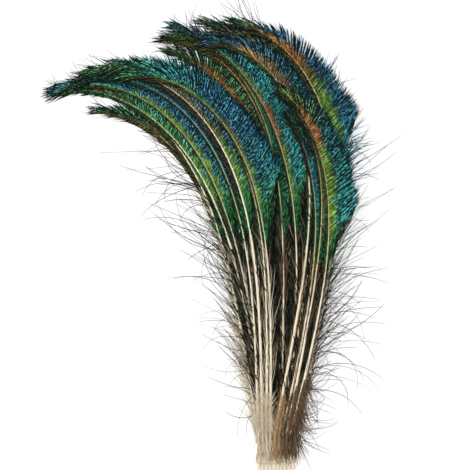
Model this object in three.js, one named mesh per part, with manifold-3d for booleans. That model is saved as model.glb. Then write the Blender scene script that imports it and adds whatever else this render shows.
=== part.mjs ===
// A gathered bunch of twenty peacock sword feathers, lying flat, its quills bound with thread.
//
// Units are millimetres, +Z is up and the bunch lies on z = 0. The origin is on that surface, in the
// middle of the binding. The quills point along -Y, and the feathers rise along +Y and bow towards -X.
// Every feather is one solid: a shaft with a wide vane on its outer, +X side and a narrow one inside.

import * as THREE from 'three';
import { mergeVertices } from 'three/addons/utils/BufferGeometryUtils.js';
import Module from 'manifold-3d';

const wasm = await Module();
wasm.setup();

// ---- The bunch as a whole ----
const ROWS = 2;                     // rows of quills in the binding
const QUILLS_PER_ROW = 10;
const QUILL_PITCH = 2.75;           // from quill to quill in a row
const ROW_PITCH = 2.8;              // from row to row
const QUILL_WIDTH = 2.4;
const QUILL_TAIL = 16;              // bare quill behind the middle of the binding
const FAN_START = 8;                // distance from the binding where the feathers start to spread
const FAN_END = 72;                 // and where each has reached its own layer of the pile
const LAYER_PITCH = 1.5;            // from layer to layer of the pile where the shafts are thickest
const LAYER_THINNING = 0.0026;      // pitch lost for each mm beyond FAN_END, as the shafts thin out
const LEAN_LENGTH = 30;             // length of quill over which a feather turns to its own lean

// ---- The shaft ----
const SHAFT_HEIGHT = 1.3;           // where the feathers have spread; the quill is round
const SHAFT_MID_WIDTH = 1.9;
const SHAFT_MID = 100;              // length along the shaft where it has its middle size
const SHAFT_TIP = 0.45;             // width and height at the tip
const SHOULDER_OUT = 0.36;          // where the shaft's side turns into the vane, as a share of its width
const SHOULDER_UP = 0.7;            // and of half its height

// ---- The vane: its barbs' length and their angle to the shaft ----
const VANE_EDGE = 0.42;             // thickness of the vane where it leaves the shaft
const FRINGE_START = 52;            // loose barbs line the shaft from here up to the vane
const FRINGE_FULL = 72;
const FRINGE_BARB = 7;
const FRINGE_ANGLE = 42;
const VANE_START = 0.5;             // as a share of the shaft's length, unless a feather has its own
const VANE_FULL = 0.08;             // share over which it opens to full width
const VANE_TAPER = 0.8;             // share where it begins to taper, unless a feather has its own
const OUTER_BARB = 35;              // where the vane is widest, just above its start
const OUTER_BARB_HIGH = 25;         // and where it begins to taper
const OUTER_ANGLE = 46;
const INNER_BARB = 16;
const INNER_ANGLE = 26;
const TIP_BARB = 9;                 // at the shaft's end
const TIP_REACH = 17;               // how far the vane reaches past the shaft's end
const TIP_ANGLE = 9;
const NOTCH = 0.8;                  // length of the vane's barbs between two locks, as a share
const LOCKS = 7;                    // locks along each vane's edge
const DOWN_START = 6;               // down on the outermost quills, from here up to the fringe
const DOWN_FULL = 20;
const DOWN_BARB = 8;

// ---- The binding: turns of thread ----
const TIE_LENGTH = 6.6;
const TIE_TURNS = 5;
const TIE_WALL = 0.7;
const TIE_BULGE = 0.3;              // how far each turn stands proud of the valley beside it
const TIE_CORNER = 1.4;
const GAP = 0.3;                    // clearance around the quills

// ---- The feathers, from left to right in each row of the binding ----
// layer: place in the pile, from 0 at the bottom. lean: angle of the straight part to +Y, to the
// left. bow: how far the shaft has turned beyond it at the tip. late: how far along that turn comes.
// inner: how long the inner barbs are, as a share. vane, taper: a start of its own for the vane or its
// taper. reach: how long the outer barbs are, as a share.
// strays: long loose barbs as [place along the shaft, length, angle to the shaft, side of the shaft].
const INNER = -1;
const OUTER = 1;
const LOWER_ROW = [
  { layer: 1, lean: 9.1, bow: 90, length: 330, late: 3.5, inner: 0.8, down: INNER,
    strays: [[208, 58, 66, INNER], [168, 56, 74, INNER], [128, 72, 78, INNER], [84, 44, 62, INNER]] },
  { layer: 0, lean: 9.1, bow: 72, length: 292, late: 3.5, inner: 0.7, down: 0,
    strays: [[236, 44, 50, INNER], [150, 50, 60, INNER]] },
  { layer: 2, lean: 8.2, bow: 87, length: 334, late: 3.0, inner: 0.4, down: 0, strays: [] },
  { layer: 3, lean: 8.4, bow: 95, length: 340, late: 3.4, inner: 0.5, down: 0, strays: [] },
  { layer: 2, lean: 0.0, bow: 66, length: 314, late: 3.8, inner: 0.35, down: 0, reach: 1.1, taper: 0.88,
    strays: [] },
  { layer: 3, lean: -2.0, bow: 85, length: 335, late: 4.1, inner: 0.35, down: 0, strays: [] },
  { layer: 4, lean: -0.9, bow: 79, length: 332, late: 4.4, inner: 0.35, down: 0, strays: [] },
  { layer: 5, lean: -5.3, bow: 73, length: 338, late: 2.9, inner: 0.45, down: 0,
    strays: [[326, 30, 48, OUTER]] },
  { layer: 1, lean: -5.0, bow: 74, length: 336, late: 3.9, inner: 0.5, down: 0, strays: [] },
  { layer: 0, lean: -9.0, bow: 74, length: 326, late: 4.0, inner: 0.5, down: OUTER,
    strays: [[196, 70, 62, OUTER], [142, 66, 66, OUTER], [96, 62, 60, OUTER], [58, 46, 68, OUTER]] },
];
const UPPER_ROW = [
  { layer: 4, lean: 1.9, bow: 98, length: 336, late: 3.2, inner: 0.8, down: INNER, strays: [] },
  { layer: 5, lean: 1.0, bow: 100, length: 342, late: 3.2, inner: 1, down: 0, strays: [] },
  { layer: 6, lean: -0.5, bow: 96, length: 334, late: 3.4, inner: 0.4, down: 0, strays: [] },
  { layer: 7, lean: -0.5, bow: 91, length: 322, late: 3.4, inner: 0.4, down: 0, strays: [] },
  { layer: 7, lean: -10.9, bow: 91, length: 330, late: 3.8, inner: 0.35, down: 0, strays: [] },
  { layer: 6, lean: -11.2, bow: 81, length: 330, late: 3.5, inner: 0.4, down: 0, strays: [] },
  { layer: 9, lean: -11.9, bow: 40, length: 244, late: 3.4, inner: 0.4, down: 0, vane: 0.6, strays: [] },
  { layer: 10, lean: -11.0, bow: 52, length: 262, late: 4.4, inner: 0.4, down: 0, vane: 0.57, strays: [] },
  { layer: 11, lean: -13.8, bow: 55, length: 268, late: 3.2, inner: 0.9, down: 0, vane: 0.55, taper: 0.88,
    strays: [[168, 52, 62, OUTER]] },
  { layer: 8, lean: -13.1, bow: 84, length: 340, late: 3.3, inner: 0.7, down: OUTER, vane: 0.6, reach: 1.1,
    strays: [[222, 60, 60, OUTER], [166, 58, 68, OUTER], [118, 50, 56, OUTER], [322, 46, 30, OUTER]] },
];

// ---- Small helpers ----
const radians = (degrees) => (degrees * Math.PI) / 180;
const clamp01 = (t) => Math.min(Math.max(t, 0), 1);
const ramp = (from, to, t) => clamp01((t - from) / (to - from));
const smooth = (t) => t * t * (3 - 2 * t);
const mix = (a, b, t) => a + (b - a) * t;

const quillX = (column) => (column - (QUILLS_PER_ROW - 1) / 2) * QUILL_PITCH;
const rowZ = (row) => TIE_WALL + GAP + QUILL_WIDTH / 2 + row * ROW_PITCH;

// Height of a feather's middle at a place: its row's in the binding, its layer's where it has spread.
function pileHeight(feather, x, y) {
  const distance = Math.hypot(x, y);
  const pitch = LAYER_PITCH - LAYER_THINNING * Math.max(distance - FAN_END, 0);
  const spread = y > 0 ? smooth(ramp(FAN_START, FAN_END, distance)) : 0;
  return mix(rowZ(feather.row), SHAFT_HEIGHT / 2 + feather.layer * pitch, spread);
}

// The shaft's line in plan, followed from the middle of the binding in short steps.
function shaftLine(feather) {
  const STEP = 1;
  const turn = (s) => radians(feather.lean * smooth(ramp(0, LEAN_LENGTH, s))
    + feather.bow * (s / feather.length) ** feather.late);
  const points = [[feather.x, 0]];
  for (let s = STEP; s <= feather.length; s += STEP) {
    const heading = turn(s - STEP / 2);
    const [x, y] = points[points.length - 1];
    points.push([x - STEP * Math.sin(heading), y + STEP * Math.cos(heading)]);
  }
  return (s) => {
    if (s <= 0) return { x: feather.x, y: s, heading: 0 };
    const i = Math.min(Math.floor(s / STEP), points.length - 2);
    const t = s / STEP - i;
    return {
      x: mix(points[i][0], points[i + 1][0], t),
      y: mix(points[i][1], points[i + 1][1], t),
      heading: turn(s),
    };
  };
}

// A point a given way from the shaft, in plan: along a barb that leaves it at an angle.
function barbEnd(place, side, length, angle) {
  const heading = place.heading - side * radians(angle);
  return [place.x - length * Math.sin(heading), place.y + length * Math.cos(heading)];
}

// Width and height of the shaft at a length along it.
function shaftSize(feather, s) {
  const spread = smooth(ramp(FAN_START, FAN_END, s));
  const end = ramp(SHAFT_MID, feather.length, s);
  const width = mix(mix(QUILL_WIDTH, SHAFT_MID_WIDTH, ramp(FAN_START, SHAFT_MID, s)), SHAFT_TIP, end);
  const height = mix(mix(QUILL_WIDTH, SHAFT_HEIGHT, spread), SHAFT_TIP, end);
  return { width, height };
}

const vaneStart = (feather) => feather.vane ?? VANE_START;

// Length and angle of the barbs that bound the vane on one side, at a length along the shaft.
function barb(feather, s, side, notched) {
  const u = s / feather.length;
  const start = vaneStart(feather);
  const reach = feather.reach ?? 1;
  const taper = feather.taper ?? VANE_TAPER;
  const wide = reach * mix(OUTER_BARB, OUTER_BARB_HIGH, ramp(start + VANE_FULL, VANE_TAPER, u));
  const full = side === OUTER ? [wide, OUTER_ANGLE] : [feather.inner * INNER_BARB, INNER_ANGLE];
  const opening = smooth(ramp(start, start + VANE_FULL, u));
  const closing = smooth(ramp(taper, 1, u));
  const fringe = FRINGE_BARB * ramp(FRINGE_START, FRINGE_FULL, s);
  const down = feather.down === side ? DOWN_BARB * ramp(DOWN_START, DOWN_FULL, s) : 0;
  const length = mix(mix(Math.max(fringe, down), full[0], opening), TIP_BARB, closing);
  const angle = mix(mix(FRINGE_ANGLE, full[1], opening), TIP_ANGLE, closing);
  return [length * (notched ? NOTCH : 1), angle];
}

// Lengths along the shaft where its section is set out.
function stations(feather) {
  const quill = [-QUILL_TAIL, 5, FAN_START, DOWN_FULL, 34, 50, FAN_END, 92, 114, 136];
  const first = vaneStart(feather) * feather.length;
  const vane = Array.from({ length: 2 * LOCKS + 1 }, (_, i) =>
    mix(first, feather.length, i / (2 * LOCKS)));
  return [...quill, ...vane];
}

// One closed mesh from rings of points, each joined to the next, with a flat start and a pointed end.
function loft(rings, tip) {
  const count = rings[0].length;
  const positions = [...rings.flat(), tip].flat();
  const index = [];
  for (let r = 0; r + 1 < rings.length; r += 1) {
    for (let i = 0; i < count; i += 1) {
      const j = (i + 1) % count;
      const [a, b, c, d] = [r * count + i, r * count + j, (r + 1) * count + i, (r + 1) * count + j];
      index.push(a, b, d, a, d, c);
    }
  }
  for (let i = 1; i + 1 < count; i += 1) index.push(0, i + 1, i);
  const last = (rings.length - 1) * count;
  for (let i = 0; i < count; i += 1) index.push(last + i, last + ((i + 1) % count), last + count);
  const geometry = new THREE.BufferGeometry();
  geometry.setAttribute('position', new THREE.Float32BufferAttribute(positions, 3));
  geometry.setIndex(index);
  return geometry;
}

// The feather without its stray barbs: an eight-sided section, drawn out to the vanes' edges.
function bladeGeometry(feather, line) {
  const rings = stations(feather).map((s, i) => {
    const place = line(s);
    const size = shaftSize(feather, s);
    const z = pileHeight(feather, place.x, place.y);
    const notched = s > (vaneStart(feather) + VANE_FULL) * feather.length && i % 2 === 1;
    const across = (side, reach) => barbEnd(place, side, reach, 90);
    const edge = (side) => {
      const [length, angle] = barb(feather, s, side, notched);
      const [x, y] = length > size.width ? barbEnd(place, side, length, angle)
        : across(side, size.width / 2);
      return [x, y, length > size.width ? pileHeight(feather, x, y) : z];
    };
    const shoulder = (side, up) => {
      const [length] = barb(feather, s, side, false);
      const round = SHOULDER_UP * (size.height / 2);
      const rise = mix(round, Math.min(VANE_EDGE / 2, round), ramp(0, FRINGE_BARB / 2, length));
      return [...across(side, SHOULDER_OUT * size.width), z + up * rise];
    };
    return [
      edge(OUTER), shoulder(OUTER, -1), [place.x, place.y, z - size.height / 2], shoulder(INNER, -1),
      edge(INNER), shoulder(INNER, 1), [place.x, place.y, z + size.height / 2], shoulder(OUTER, 1),
    ];
  });
  const end = line(feather.length);
  const [x, y] = barbEnd(end, OUTER, TIP_REACH, 0);
  return loft(rings, [x, y, pileHeight(feather, x, y)]);
}

// One long loose barb, a thin three-sided spike that curls back along the shaft as it goes out.
function strayGeometry(feather, line, [start, length, angle, side]) {
  const SEGMENTS = 4;
  const CURL = 16;
  const ROOT_WIDTH = 1.5;
  const HEIGHT = 0.5;
  const TIP_SHARE = 0.25;
  const place = line(start);
  let [x, y] = [place.x, place.y];
  const rings = [];
  for (let i = 0; i < SEGMENTS; i += 1) {
    const heading = place.heading - side * radians(angle - CURL + (2 * CURL * i) / SEGMENTS);
    const half = (ROOT_WIDTH / 2) * mix(1, TIP_SHARE, i / SEGMENTS);
    const z = pileHeight(feather, x, y);
    const [nx, ny] = [Math.cos(heading) * half, Math.sin(heading) * half];
    rings.push([[x + nx, y + ny, z - HEIGHT / 2], [x - nx, y - ny, z - HEIGHT / 2],
      [x, y, z + HEIGHT / 2]]);
    x -= (length / SEGMENTS) * Math.sin(heading);
    y += (length / SEGMENTS) * Math.cos(heading);
  }
  return loft(rings, [x, y, pileHeight(feather, x, y)]);
}

// ---- Booleans ----
function toSolid(geometry) {
  const bare = new THREE.BufferGeometry();
  bare.setAttribute('position', geometry.getAttribute('position'));
  bare.setIndex(geometry.getIndex());
  const merged = mergeVertices(bare, 1e-4);
  return new wasm.Manifold(new wasm.Mesh({
    numProp: 3,
    vertProperties: new Float32Array(merged.getAttribute('position').array),
    triVerts: new Uint32Array(merged.getIndex().array),
  }));
}

function toGeometry(solid) {
  const mesh = solid.getMesh();
  const geometry = new THREE.BufferGeometry();
  geometry.setAttribute('position', new THREE.BufferAttribute(new Float32Array(mesh.vertProperties), 3));
  geometry.setIndex(new THREE.BufferAttribute(new Uint32Array(mesh.triVerts), 1));
  geometry.computeVertexNormals();
  return geometry;
}

function featherGeometry(feather) {
  const line = shaftLine(feather);
  let solid = toSolid(bladeGeometry(feather, line));
  for (const stray of feather.strays) solid = solid.add(toSolid(strayGeometry(feather, line, stray)));
  return toGeometry(solid);
}

// ---- The binding: a rounded band around both rows, ridged by its turns and flat underneath ----
function bandOutline(halfWidth, low, high, corner) {
  const CORNER_STEPS = 4;
  const corners = [[1, high, 0], [-1, high, 90], [-1, low, 180], [1, low, 270]];
  return corners.flatMap(([side, level, from]) =>
    Array.from({ length: CORNER_STEPS + 1 }, (_, i) => {
      const angle = radians(from + (90 * i) / CORNER_STEPS);
      const centreZ = level === high ? high - corner : low + corner;
      return [side * (halfWidth - corner) + corner * Math.cos(angle), centreZ + corner * Math.sin(angle)];
    }));
}

function tieGeometry() {
  const innerHalf = quillX(QUILLS_PER_ROW - 1) + QUILL_WIDTH / 2 + GAP;
  const innerHigh = rowZ(ROWS - 1) + QUILL_WIDTH / 2 + GAP;
  const halfSteps = 2 * TIE_TURNS;
  const ring = (y, proud) => {
    const wall = TIE_WALL + proud;
    return bandOutline(innerHalf + wall, TIE_WALL - wall, innerHigh + wall, TIE_CORNER + wall)
      .map(([x, z]) => [x, y, Math.max(z, 0)]);
  };
  const outer = Array.from({ length: halfSteps + 1 }, (_, i) =>
    ring(mix(TIE_LENGTH / 2, -TIE_LENGTH / 2, i / halfSteps), i % 2 === 1 ? TIE_BULGE : 0));
  const inner = [-1, 1].map((end) => bandOutline(innerHalf, TIE_WALL, innerHigh, TIE_CORNER)
    .map(([x, z]) => [x, (end * TIE_LENGTH) / 2, z]));
  const rings = [...outer, ...inner];
  const count = rings[0].length;
  const index = [];
  for (let r = 0; r < rings.length; r += 1) {
    const next = (r + 1) % rings.length;
    for (let i = 0; i < count; i += 1) {
      const j = (i + 1) % count;
      const [a, b, c, d] = [r * count + i, r * count + j, next * count + i, next * count + j];
      index.push(a, b, d, a, d, c);
    }
  }
  const geometry = new THREE.BufferGeometry();
  geometry.setAttribute('position', new THREE.Float32BufferAttribute(rings.flat(2), 3));
  geometry.setIndex(index);
  return toGeometry(toSolid(geometry));
}

// ---- The finished bunch ----
const featherMaterial = new THREE.MeshStandardMaterial({ color: 0x2f6f5b, roughness: 0.45, metalness: 0.3 });
const threadMaterial = new THREE.MeshStandardMaterial({ color: 0xd8c8a4, roughness: 0.9, metalness: 0 });

const bunch = new THREE.Group();
[LOWER_ROW, UPPER_ROW].forEach((feathers, row) => feathers.forEach((shape, column) => {
  const feather = { ...shape, row, x: quillX(column) };
  const mesh = new THREE.Mesh(featherGeometry(feather), featherMaterial);
  const number = String(row * QUILLS_PER_ROW + column + 1).padStart(2, '0');
  mesh.name = `feather_${number}`;
  bunch.add(mesh);
}));

const tie = new THREE.Mesh(tieGeometry(), threadMaterial);
tie.name = 'thread_tie';
bunch.add(tie);

export default bunch;
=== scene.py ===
"""Dresses a gathered bunch of peacock sword feathers that lies flat, its quills bound with thread.

Sizes are in millimetres until a mesh is made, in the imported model's frame: the origin is on the surface
under the binding, +Y runs towards the tips, +Z is up and the feathers bow towards -X.
"""

import logging
import math
from dataclasses import dataclass
from enum import Enum

import bpy
import numpy as np
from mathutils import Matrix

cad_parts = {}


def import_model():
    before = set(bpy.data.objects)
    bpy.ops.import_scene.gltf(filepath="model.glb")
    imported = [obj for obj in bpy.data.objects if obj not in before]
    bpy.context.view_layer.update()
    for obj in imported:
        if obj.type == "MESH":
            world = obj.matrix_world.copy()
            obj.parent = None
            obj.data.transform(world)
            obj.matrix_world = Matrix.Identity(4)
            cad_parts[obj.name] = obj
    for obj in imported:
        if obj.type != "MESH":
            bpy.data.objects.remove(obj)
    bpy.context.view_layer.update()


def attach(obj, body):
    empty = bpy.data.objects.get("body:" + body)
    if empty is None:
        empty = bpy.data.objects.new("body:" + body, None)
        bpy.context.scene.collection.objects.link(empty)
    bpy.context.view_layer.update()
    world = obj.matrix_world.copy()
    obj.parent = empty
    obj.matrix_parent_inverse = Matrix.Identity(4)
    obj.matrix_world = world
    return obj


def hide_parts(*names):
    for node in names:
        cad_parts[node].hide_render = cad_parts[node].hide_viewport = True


LOG = logging.getLogger("feather_bunch")
MM = 0.001
MAP_NAME = "OFBake"
Array = np.ndarray
Socket = bpy.types.NodeSocket
Span = tuple[float, float]
Stops = tuple[tuple[float, "Hue"], ...]


class Side(Enum):
    """The side of a shaft that a barb grows on, with the sign of its direction."""

    INNER = -1
    OUTER = 1


class Hue(Enum):
    """The colours that the bunch shows."""

    BLACK = (0.004, 0.007, 0.006)
    BOTTLE = (0.014, 0.06, 0.032)
    GREEN = (0.035, 0.2, 0.06)
    LIME = (0.16, 0.3, 0.05)
    OLIVE = (0.13, 0.13, 0.035)
    BRONZE = (0.21, 0.145, 0.07)
    COPPER = (0.36, 0.14, 0.04)
    GOLD = (0.5, 0.26, 0.06)
    HONEY = (0.52, 0.43, 0.22)
    FAWN = (0.55, 0.36, 0.18)
    JADE = (0.03, 0.3, 0.15)
    TURQUOISE = (0.03, 0.38, 0.38)
    TEAL = (0.012, 0.16, 0.2)
    BLUE = (0.014, 0.125, 0.27)
    NAVY = (0.01, 0.055, 0.12)
    # A pale colour for painted glints on the barbs.
    GLINT = (0.3, 0.52, 0.5)
    GLARE = (0.9, 0.9, 0.9)
    CREAM = (0.8, 0.71, 0.54)
    TAN = (0.4, 0.28, 0.16)
    UMBER = (0.06, 0.038, 0.024)
    RUSSET = (0.11, 0.055, 0.04)


# ---- Small numeric helpers ----
def ramp(low: float, high: float, value: Array) -> Array:
    """Rises evenly from 0 to 1.

    Args:
        low: where it leaves 0.
        high: where it reaches 1.
        value: the places to read it at.

    Returns:
        A share for each place.
    """
    return np.clip((np.asarray(value, float) - low) / (high - low), 0.0, 1.0)


def smooth(t: Array) -> Array:
    """Eases 0 to 1 in and out."""
    return t * t * (3.0 - 2.0 * t)


def mix(a: Array, b: Array, t: Array) -> Array:
    """Goes from one value to another.

    Args:
        a: the value at 0.
        b: the value at 1.
        t: how far along, from 0 to 1.

    Returns:
        The value there.
    """
    return a + (b - a) * t


def between(bounds: Span | None, count: int, rng: np.random.Generator) -> Array:
    """Random values.

    Args:
        bounds: the lowest and the highest, or None for zeros.
        count: how many.
        rng: where they come from.

    Returns:
        The values.
    """
    return rng.uniform(*bounds, count) if bounds else np.zeros(count)


# ---- The bunch: the sizes that the solids are made to ----
@dataclass(frozen=True)
class Pile:
    """How the quills are packed in the binding and how the feathers lie on each other.

    quill_tail: how far the quills pass the binding's middle. fan_start, fan_end: the stretch over which the
    feathers go from their rows to their layers. layer_pitch: height between layers, which gets smaller
    outwards by layer_thinning. lean_length: the stretch over which a feather starts to lean. tie_wall, gap:
    thickness of the binding, and the room between it and the quills.
    """

    quills_per_row: int = 10
    rows: int = 2
    quill_pitch: float = 2.75
    row_pitch: float = 2.8
    quill_width: float = 2.4
    quill_tail: float = 16.0
    fan_start: float = 8.0
    fan_end: float = 72.0
    layer_pitch: float = 1.5
    layer_thinning: float = 0.0026
    lean_length: float = 30.0
    shaft_height: float = 1.3
    tie_wall: float = 0.7
    gap: float = 0.3

    def quill_x(self, column: int) -> float:
        """Place of a quill across the binding."""
        return (column - (self.quills_per_row - 1) / 2) * self.quill_pitch

    def row_z(self, row: int) -> float:
        """Height of a row of quills in the binding."""
        return self.tie_wall + self.gap + self.quill_width / 2 + row * self.row_pitch

    def height(self, row: int, layer: int, x: Array, y: Array) -> Array:
        """Height of the middle of a feather's sheet.

        Args:
            row: the feather's row in the binding.
            layer: its place in the pile.
            x: places across.
            y: places along.

        Returns:
            The height at each place.
        """
        distance = np.hypot(x, y)
        pitch = self.layer_pitch - self.layer_thinning * np.maximum(distance - self.fan_end, 0.0)
        spread = np.where(y > 0.0, smooth(ramp(self.fan_start, self.fan_end, distance)), 0.0)
        return mix(self.row_z(row), self.shaft_height / 2 + layer * pitch, spread)


@dataclass(frozen=True)
class Shape:
    """One feather's line and place, as in the solids, and the parts of its vane that have their own size.

    row, column: its quill's place in the binding. layer: its place in the pile. lean: its angle to the left
    above the binding. bow: how much further it turns by the tip. late: the higher it is, the nearer to the
    tip it turns. inner, reach: how long the barbs of its narrow and its wide vane are, as shares of the
    usual length. vane, taper: where the vane starts and where it starts to close, as shares of the shaft.
    """

    row: int
    column: int
    layer: int
    lean: float
    bow: float
    length: float
    late: float
    inner: float
    vane: float = 0.5
    reach: float = 1.0
    taper: float = 0.8


LOWER_ROW = (
    Shape(0, 0, 1, 9.1, 90, 330, 3.5, 0.5),
    Shape(0, 1, 0, 9.1, 72, 292, 3.5, 0.5),
    Shape(0, 2, 2, 8.2, 87, 334, 3.0, 0.22),
    Shape(0, 3, 3, 8.4, 95, 340, 3.4, 0.22),
    Shape(0, 4, 2, 0.0, 66, 314, 3.8, 0.22, reach=1.1, taper=0.88),
    Shape(0, 5, 3, -2.0, 85, 335, 4.1, 0.22),
    Shape(0, 6, 4, -0.9, 79, 332, 4.4, 0.22),
    Shape(0, 7, 5, -5.3, 73, 338, 2.9, 0.25),
    Shape(0, 8, 1, -5.0, 74, 336, 3.9, 0.5),
    Shape(0, 9, 0, -9.0, 74, 326, 4.0, 0.5),
)
UPPER_ROW = (
    Shape(1, 0, 4, 1.9, 98, 336, 3.2, 0.3),
    Shape(1, 1, 5, 1.0, 100, 342, 3.2, 0.8),
    Shape(1, 2, 6, -0.5, 96, 334, 3.4, 0.22),
    Shape(1, 3, 7, -0.5, 91, 322, 3.4, 0.22),
    Shape(1, 4, 7, -10.9, 91, 330, 3.8, 0.3),
    Shape(1, 5, 6, -11.2, 81, 330, 3.5, 0.25),
    Shape(1, 6, 9, -11.9, 40, 244, 3.4, 0.25, vane=0.6),
    Shape(1, 7, 10, -11.0, 52, 262, 4.4, 0.25, vane=0.57),
    Shape(1, 8, 11, -13.8, 55, 268, 3.2, 0.4, vane=0.55, taper=0.88),
    Shape(1, 9, 8, -13.1, 84, 340, 3.3, 0.7, vane=0.6, reach=1.1),
)


class ShaftLine:
    """The line of a feather's shaft in plan."""

    STEP = 1.0

    def __init__(self, shape: Shape, pile: Pile) -> None:
        """Follows the line from the binding to the tip in short steps.

        Args:
            shape: the feather's lean and bow.
            pile: the packing of the quills.
        """
        self.shape = shape
        self.pile = pile
        self.stops = np.arange(0.0, shape.length + self.STEP, self.STEP)
        turns = self.heading(self.stops[1:] - self.STEP / 2)
        x0 = pile.quill_x(shape.column)
        self.xs = x0 - np.concatenate([[0.0], np.cumsum(self.STEP * np.sin(turns))])
        self.ys = np.concatenate([[0.0], np.cumsum(self.STEP * np.cos(turns))])

    def heading(self, s: Array) -> Array:
        """Direction of the shaft.

        Args:
            s: lengths along it.

        Returns:
            Its angle to +Y at each of them, to the left.
        """
        shape = self.shape
        forward = np.maximum(s, 0.0)
        lean = shape.lean * smooth(ramp(0.0, self.pile.lean_length, forward))
        return np.radians(lean + shape.bow * (forward / shape.length) ** shape.late)

    def place(self, s: Array) -> tuple[Array, Array]:
        """Place of the shaft in plan; the quill's tail runs straight back.

        Args:
            s: lengths along it.

        Returns:
            Its x and y at each of them.
        """
        x = np.interp(s, self.stops, self.xs)
        y = np.where(s < 0.0, s, np.interp(s, self.stops, self.ys))
        return x, y

    def height(self, x: Array, y: Array) -> Array:
        """Height of this feather's sheet at plan positions."""
        return self.pile.height(self.shape.row, self.shape.layer, x, y)


# ---- Meshes from arrays ----
@dataclass
class MeshArrays:
    """Vertices, triangles and the map of a joined mesh."""

    points: Array
    faces: Array
    uvs: Array

    @staticmethod
    def joined(parts: list["MeshArrays"]) -> "MeshArrays":
        """Joins several meshes into one.

        Args:
            parts: the meshes.

        Returns:
            The joined mesh.
        """
        offsets = np.cumsum([0] + [len(p.points) for p in parts[:-1]])
        return MeshArrays(
            np.concatenate([p.points for p in parts]),
            np.concatenate([p.faces + o for p, o in zip(parts, offsets)]),
            np.concatenate([p.uvs for p in parts]),
        )

    def make(self, name: str) -> bpy.types.Object:
        """Makes a Blender object at the origin, in metres, smooth shaded, with its map.

        Args:
            name: the object's name.

        Returns:
            The object, in the scene.
        """
        mesh = bpy.data.meshes.new(name)
        count = len(self.faces)
        mesh.vertices.add(len(self.points))
        mesh.vertices.foreach_set("co", (self.points * MM).astype(np.float32).ravel())
        mesh.loops.add(3 * count)
        mesh.loops.foreach_set("vertex_index", self.faces.astype(np.int32).ravel())
        mesh.polygons.add(count)
        mesh.polygons.foreach_set("loop_start", np.arange(0, 3 * count, 3, dtype=np.int32))
        mesh.polygons.foreach_set("use_smooth", np.ones(count, dtype=bool))
        layer = mesh.uv_layers.new(name=MAP_NAME)
        layer.data.foreach_set("uv", self.uvs[self.faces.ravel()].astype(np.float32).ravel())
        mesh.update(calc_edges=True)
        piece = bpy.data.objects.new(name, mesh)
        bpy.context.scene.collection.objects.link(piece)
        return piece


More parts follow.
